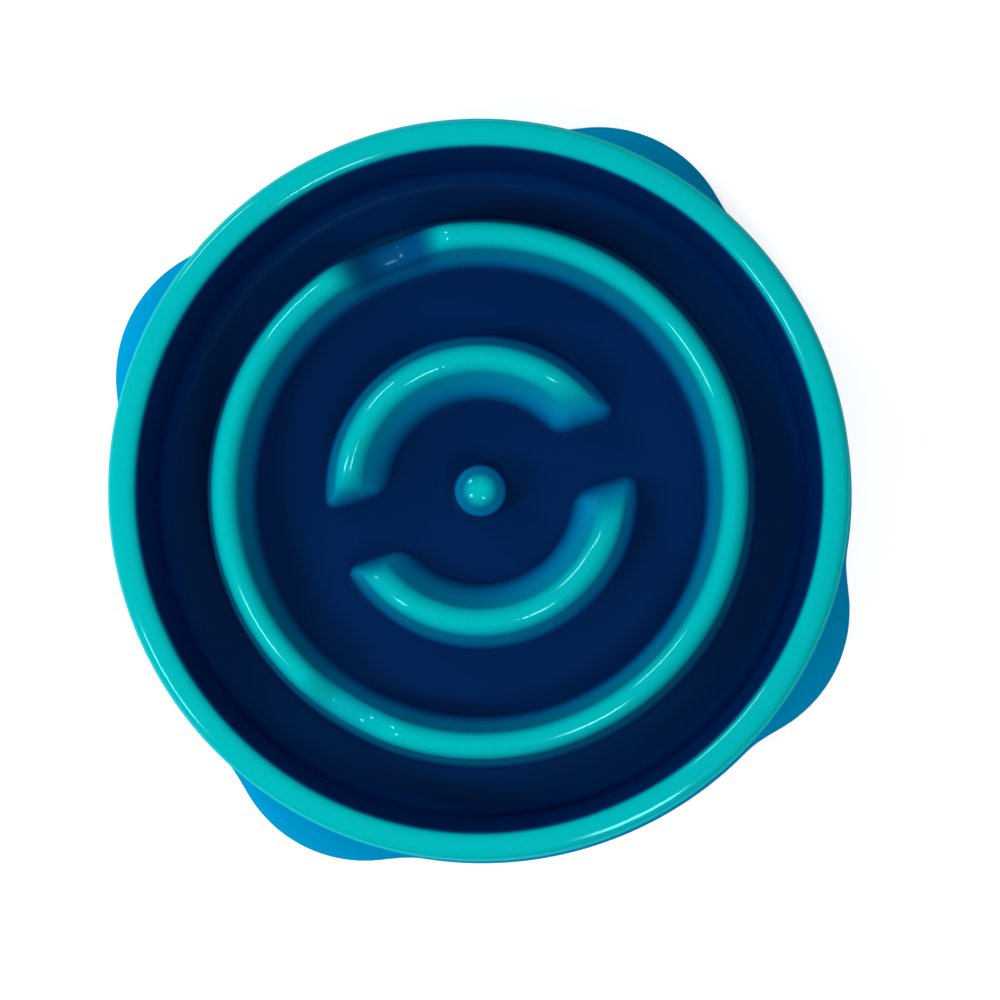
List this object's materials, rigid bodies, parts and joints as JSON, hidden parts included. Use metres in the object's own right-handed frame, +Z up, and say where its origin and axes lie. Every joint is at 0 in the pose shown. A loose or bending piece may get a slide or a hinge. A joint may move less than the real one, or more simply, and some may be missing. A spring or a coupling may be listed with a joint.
{
  "type": "slow feeder bowl",
  "caption": "Round shallow feeding bowl with a ring ridge, arc ridges and a centre post in its basin, lobes flaring under the rim, and rubber feet.",
  "frame": {"origin": "on the floor, below the middle of the bowl", "axes": "+Z up, +X along the straight gap between the two arc ridges, with the deep saddle of the ring ridge near +Y"},
  "size_m": [0.307, 0.307, 0.058],
  "materials": {
    "bowl_plastic": "glossy teal moulded plastic, deeper blue towards the channels and the lobes",
    "foot_rubber": "satin dark rubber"
  },
  "bodies": {
    "root": {"bowl": "bowl_plastic", "foot_front_right": "foot_rubber", "foot_back_right": "foot_rubber", "foot_back_left": "foot_rubber", "foot_front_left": "foot_rubber"}
  },
  "joints": []
}
